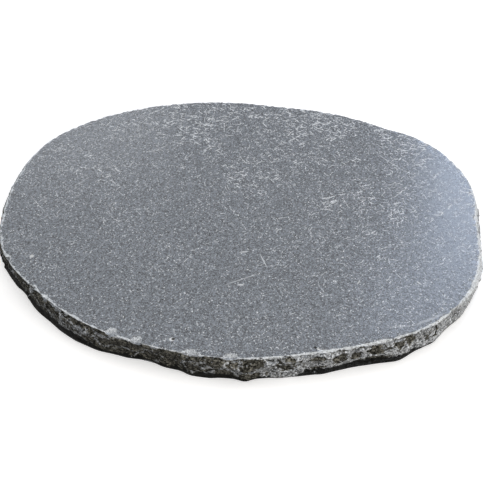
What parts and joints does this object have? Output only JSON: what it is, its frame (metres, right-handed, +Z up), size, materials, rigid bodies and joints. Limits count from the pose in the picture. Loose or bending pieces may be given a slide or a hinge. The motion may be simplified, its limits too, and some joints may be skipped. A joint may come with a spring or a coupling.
{
  "type": "garden stepping stone",
  "caption": "Flat, roughly oval slab of grey-blue stone with sawn faces and a hand-broken edge, laid on the ground as a step of a garden path.",
  "frame": {"origin": "middle of the stone's outline, on its underside", "axes": "+X along the stone's length, +Y along its width, +Z up, out of the tread"},
  "size_m": [0.4524, 0.3726, 0.028],
  "materials": {
    "bluestone": "sawn and tumbled on the faces, hand-broken and rough round the edge"
  },
  "bodies": {
    "root": {"stepping_stone": "bluestone"}
  },
  "joints": []
}
